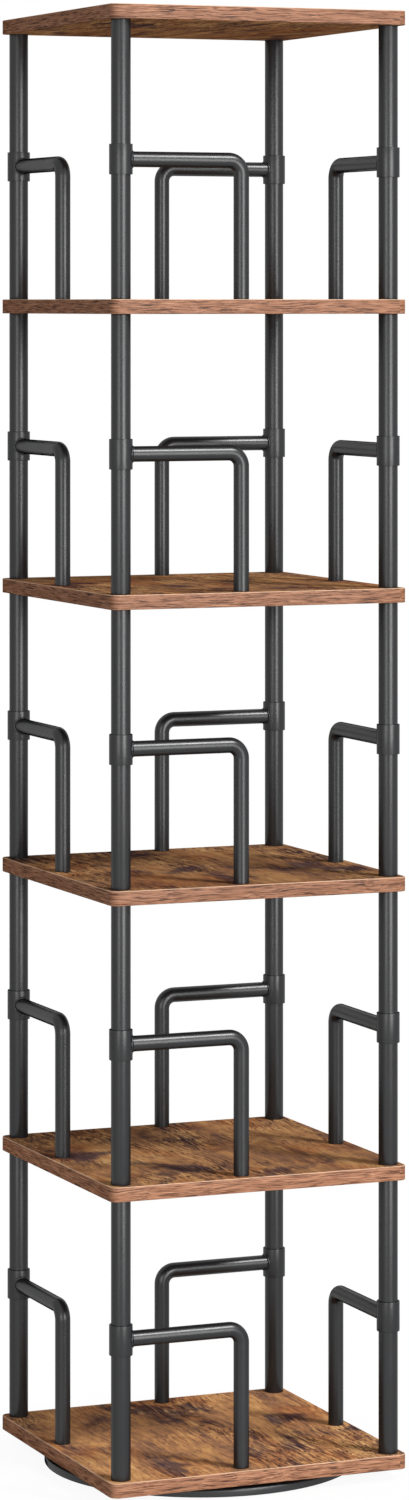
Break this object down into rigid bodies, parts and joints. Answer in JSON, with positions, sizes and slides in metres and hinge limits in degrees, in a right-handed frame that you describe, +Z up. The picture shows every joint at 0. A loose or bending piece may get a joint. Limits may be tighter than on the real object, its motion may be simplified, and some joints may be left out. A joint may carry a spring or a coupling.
{
  "type": "rotating bookshelf",
  "caption": "Square open shelves on round corner posts, with bent side arms to hold books, turning on a round base with a ball bearing.",
  "frame": {"origin": "centre of the base on the floor, on the axis that the shelves turn about", "axes": "+Z up; X and Y square to the shelves' sides; front_left is the corner at -X -Y, and the other corners follow counter-clockwise seen from above"},
  "size_m": [0.33, 0.33, 1.527],
  "materials": {
    "board": "matt laminate, rustic brown grain",
    "edge_band": "matt laminate, red-brown grain",
    "frame_coat": "satin charcoal powder coat",
    "base_coat": "satin charcoal powder coat",
    "rubber": "matt",
    "bearing_ring": "turned",
    "cage": "matt",
    "ball": "polished",
    "zinc": "zinc plated",
    "insert": "turned"
  },
  "bodies": {
    "base": {"base_pan": "base_coat", "rubber_feet": "rubber", "bearing_inner_ring": "bearing_ring", "inner_ring_screws": "zinc"},
    "carousel": {"shelf_1": "board", "shelf_2": "board", "shelf_3": "board", "shelf_4": "board", "shelf_5": "board", "shelf_6": "board", "shelf_edge_bands": "edge_band", "post_1_front_left": "frame_coat", "post_1_front_right": "frame_coat", "post_1_back_right": "frame_coat", "post_1_back_left": "frame_coat", "post_2_front_left": "frame_coat", "post_2_front_right": "frame_coat", "post_2_back_right": "frame_coat", "post_2_back_left": "frame_coat", "post_3_front_left": "frame_coat", "post_3_front_right": "frame_coat", "post_3_back_right": "frame_coat", "post_3_back_left": "frame_coat", "post_4_front_left": "frame_coat", "post_4_front_right": "frame_coat", "post_4_back_right": "frame_coat", "post_4_back_left": "frame_coat", "post_5_front_left": "frame_coat", "post_5_front_right": "frame_coat", "post_5_back_right": "frame_coat", "post_5_back_left": "frame_coat", "arm_1_front_left": "frame_coat", "arm_1_front_right": "frame_coat", "arm_1_back_right": "frame_coat", "arm_1_back_left": "frame_coat", "arm_2_front_left": "frame_coat", "arm_2_front_right": "frame_coat", "arm_2_back_right": "frame_coat", "arm_2_back_left": "frame_coat", "arm_3_front_left": "frame_coat", "arm_3_front_right": "frame_coat", "arm_3_back_right": "frame_coat", "arm_3_back_left": "frame_coat", "arm_4_front_left": "frame_coat", "arm_4_front_right": "frame_coat", "arm_4_back_right": "frame_coat", "arm_4_back_left": "frame_coat", "arm_5_front_left": "frame_coat", "arm_5_front_right": "frame_coat", "arm_5_back_right": "frame_coat", "arm_5_back_left": "frame_coat", "bearing_outer_ring": "bearing_ring", "outer_ring_screws": "zinc", "joining_studs": "zinc", "top_studs": "zinc", "top_inserts": "insert", "post_bolts": "zinc", "arm_screws": "zinc"},
    "ball_cage": {"ball_cage": "cage", "bearing_balls": "ball"}
  },
  "joints": [
    {"name": "turntable_spin", "type": "hinge", "parent": "base", "child": "carousel", "pos_m": [0, 0, 0.008], "axis": [0, 0, 1], "continuous": true},
    {"name": "cage_spin", "type": "hinge", "parent": "base", "child": "ball_cage", "pos_m": [0, 0, 0.008], "axis": [0, 0, 1], "continuous": true}
  ],
  "couplings": [
    {"joint": "cage_spin", "follows": "turntable_spin", "ratio": 0.5}
  ]
}
